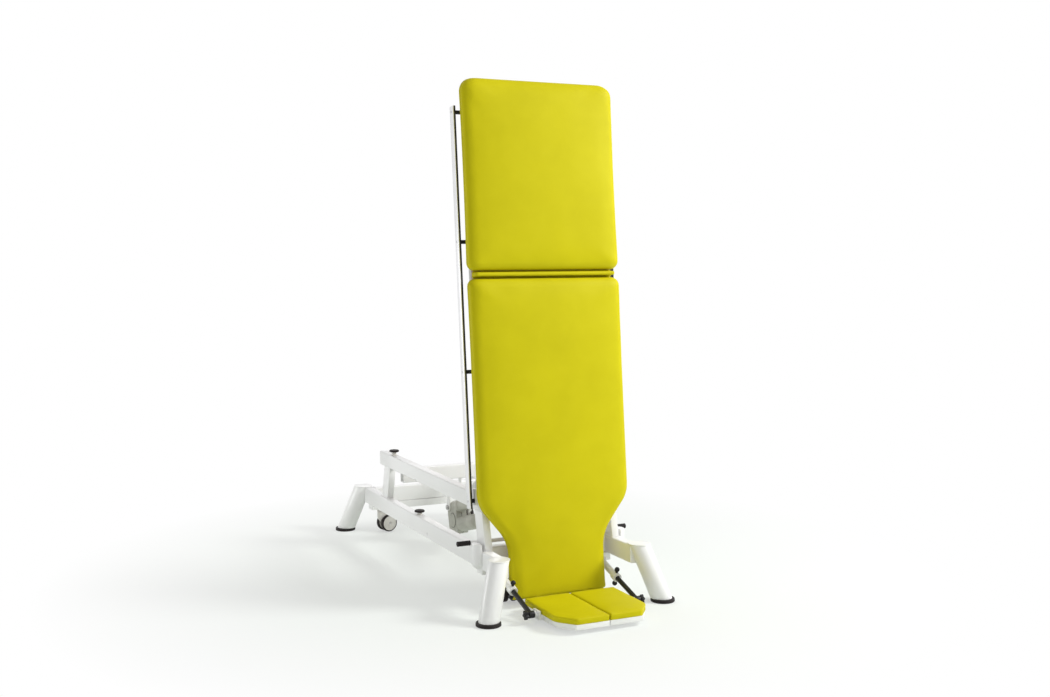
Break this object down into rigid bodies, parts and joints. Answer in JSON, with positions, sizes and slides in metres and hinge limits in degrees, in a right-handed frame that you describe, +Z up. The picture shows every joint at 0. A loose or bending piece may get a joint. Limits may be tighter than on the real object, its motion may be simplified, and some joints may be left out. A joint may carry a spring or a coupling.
{
  "type": "physiotherapy tilt table",
  "caption": "Tilt table shown upright: upholstered bed with a narrow foot section on a low white steel frame, with a powered tilt drive, split footplates, stays, castors and a foot bar.",
  "frame": {"origin": "on the floor under the centre of the whole table's bounding box, bed upright", "axes": "+Y from the foot end to the head end, +X to the right seen from the foot end, +Z up"},
  "size_m": [0.802, 1.9233, 1.9333],
  "materials": {
    "frame_paint": "gloss white powder coat",
    "upholstery": "lime-yellow artificial leather, soft sheen",
    "bed_panel": "plywood, sealed",
    "rubber_black": "matt moulded rubber",
    "pin_steel": "ground steel",
    "rod_chrome": "hard chromed",
    "rail_aluminium": "polished",
    "black_plastic": "fine grained",
    "drive_grey": "fine grained",
    "castor_hub": "moulded"
  },
  "bodies": {
    "base": {"side_rail_left": "frame_paint", "side_rail_right": "frame_paint", "cross_bars": "frame_paint", "front_legs": "frame_paint", "rear_legs": "frame_paint", "end_caps": "frame_paint", "foot_rings": "rubber_black", "front_uprights": "frame_paint", "rear_uprights": "frame_paint", "upright_sockets": "frame_paint", "upper_beam_left": "frame_paint", "upper_beam_right": "frame_paint", "upper_cross_bar": "frame_paint", "bumpers": "rubber_black", "tilt_brackets": "frame_paint", "pivot_pins": "pin_steel", "drive_bracket": "frame_paint"},
    "bed": {"bed_tube_left": "frame_paint", "bed_tube_right": "frame_paint", "bed_cross_tubes": "frame_paint", "neck_tubes": "frame_paint", "foot_hinge_arms": "frame_paint", "tilt_bushes": "pin_steel", "bed_board": "bed_panel", "cushion_lower": "upholstery", "cushion_upper": "upholstery", "cushion_strip": "upholstery", "accessory_rail_left": "rail_aluminium", "accessory_rail_right": "rail_aluminium", "rail_spacers": "black_plastic", "drive_lugs": "frame_paint", "foot_shafts": "pin_steel"},
    "foot_plate_left": {"footplate_left": "frame_paint", "foot_cushion_left": "upholstery"},
    "stay_upper_left": {"stay_tube_left": "frame_paint", "stay_clamp_left": "black_plastic"},
    "stay_lower_left": {"stay_bar_left": "black_plastic", "stay_knob_left": "black_plastic"},
    "foot_plate_right": {"footplate_right": "frame_paint", "foot_cushion_right": "upholstery"},
    "stay_upper_right": {"stay_tube_right": "frame_paint", "stay_clamp_right": "black_plastic"},
    "stay_lower_right": {"stay_bar_right": "black_plastic", "stay_knob_right": "black_plastic"},
    "drive_housing": {"drive_body": "drive_grey", "drive_motor": "drive_grey", "motor_cable": "rubber_black"},
    "drive_piston": {"drive_rod": "rod_chrome"},
    "foot_lift": {"foot_bar": "frame_paint", "foot_grips": "rubber_black"},
    "castor_lift": {"castor_beams": "frame_paint"},
    "castor_fl": {"castor_fork_fl": "castor_hub"},
    "wheels_fl": {"castor_wheels_fl": "castor_hub"},
    "castor_fr": {"castor_fork_fr": "castor_hub"},
    "wheels_fr": {"castor_wheels_fr": "castor_hub"},
    "castor_rl": {"castor_fork_rl": "castor_hub"},
    "wheels_rl": {"castor_wheels_rl": "castor_hub"},
    "castor_rr": {"castor_fork_rr": "castor_hub"},
    "wheels_rr": {"castor_wheels_rr": "castor_hub"}
  },
  "joints": [
    {"name": "bed_tilt", "type": "hinge", "parent": "base", "child": "bed", "pos_m": [0, -0.48075, 0.455], "axis": [1, 0, 0], "range_deg": [-84.2, 0]},
    {"name": "drive_swing", "type": "hinge", "parent": "base", "child": "drive_housing", "pos_m": [0, 0.44525, 0.166], "axis": [1, 0, 0], "range_deg": [0, 5.2]},
    {"name": "drive_stroke", "type": "slide", "parent": "drive_housing", "child": "drive_piston", "axis": [0, -0.9653, 0.2612], "range_m": [0, 0.1491]},
    {"name": "footplate_angle_left", "type": "hinge", "parent": "bed", "child": "foot_plate_left", "pos_m": [-0.095, -0.62775, 0.0265], "axis": [-1, 0, 0], "range_deg": [0, 25]},
    {"name": "stay_swing_left", "type": "hinge", "parent": "bed", "child": "stay_upper_left", "pos_m": [-0.215, -0.50675, 0.12], "axis": [-1, 0, 0], "range_deg": [0, 12.5]},
    {"name": "stay_slide_left", "type": "slide", "parent": "stay_upper_left", "child": "stay_lower_left", "axis": [0, 0.9538, 0.3003], "range_m": [0, 0.0301]},
    {"name": "footplate_angle_right", "type": "hinge", "parent": "bed", "child": "foot_plate_right", "pos_m": [0.095, -0.62775, 0.0265], "axis": [-1, 0, 0], "range_deg": [0, 25]},
    {"name": "stay_swing_right", "type": "hinge", "parent": "bed", "child": "stay_upper_right", "pos_m": [0.215, -0.50675, 0.12], "axis": [-1, 0, 0], "range_deg": [0, 12.5]},
    {"name": "stay_slide_right", "type": "slide", "parent": "stay_upper_right", "child": "stay_lower_right", "axis": [0, 0.9538, 0.3003], "range_m": [0, 0.0301]},
    {"name": "foot_bar_lift", "type": "hinge", "parent": "base", "child": "foot_lift", "pos_m": [0, -0.32675, 0.18], "axis": [-1, 0, 0], "range_deg": [0, 28]},
    {"name": "castor_drop", "type": "slide", "parent": "base", "child": "castor_lift", "axis": [0, 0, -1], "range_m": [0, 0.0122]},
    {"name": "castor_swivel_fl", "type": "hinge", "parent": "castor_lift", "child": "castor_fl", "pos_m": [-0.166, -0.45575, 0.041], "axis": [0, 0, 1], "continuous": true},
    {"name": "castor_roll_fl", "type": "hinge", "parent": "castor_fl", "child": "wheels_fl", "pos_m": [-0.16809, -0.48568, 0.041], "axis": [-0.9976, 0.0698, 0], "continuous": true},
    {"name": "castor_swivel_fr", "type": "hinge", "parent": "castor_lift", "child": "castor_fr", "pos_m": [0.166, -0.45575, 0.041], "axis": [0, 0, 1], "continuous": true},
    {"name": "castor_roll_fr", "type": "hinge", "parent": "castor_fr", "child": "wheels_fr", "pos_m": [0.14113, -0.47253, 0.041], "axis": [-0.5592, 0.829, 0], "continuous": true},
    {"name": "castor_swivel_rl", "type": "hinge", "parent": "castor_lift", "child": "castor_rl", "pos_m": [-0.219, 0.80325, 0.041], "axis": [0, 0, 1], "continuous": true},
    {"name": "castor_roll_rl", "type": "hinge", "parent": "castor_rl", "child": "wheels_rl", "pos_m": [-0.18966, 0.80949, 0.041], "axis": [0.2079, -0.9781, 0], "continuous": true},
    {"name": "castor_swivel_rr", "type": "hinge", "parent": "castor_lift", "child": "castor_rr", "pos_m": [0.219, 0.80325, 0.041], "axis": [0, 0, 1], "continuous": true},
    {"name": "castor_roll_rr", "type": "hinge", "parent": "castor_rr", "child": "wheels_rr", "pos_m": [0.20973, 0.83178, 0.041], "axis": [0.9511, 0.309, 0], "continuous": true}
  ],
  "couplings": [
    {"joint": "drive_swing", "follows": "bed_tilt", "ratio": -0.058491},
    {"joint": "drive_stroke", "follows": "bed_tilt", "m_per_rad": -0.10077},
    {"joint": "stay_swing_left", "follows": "footplate_angle_left", "ratio": 0.49233},
    {"joint": "stay_slide_left", "follows": "footplate_angle_left", "m_per_rad": 0.067806},
    {"joint": "stay_swing_right", "follows": "footplate_angle_right", "ratio": 0.49233},
    {"joint": "stay_slide_right", "follows": "footplate_angle_right", "m_per_rad": 0.067806},
    {"joint": "castor_drop", "follows": "foot_bar_lift", "m_per_rad": 0.024545}
  ]
}
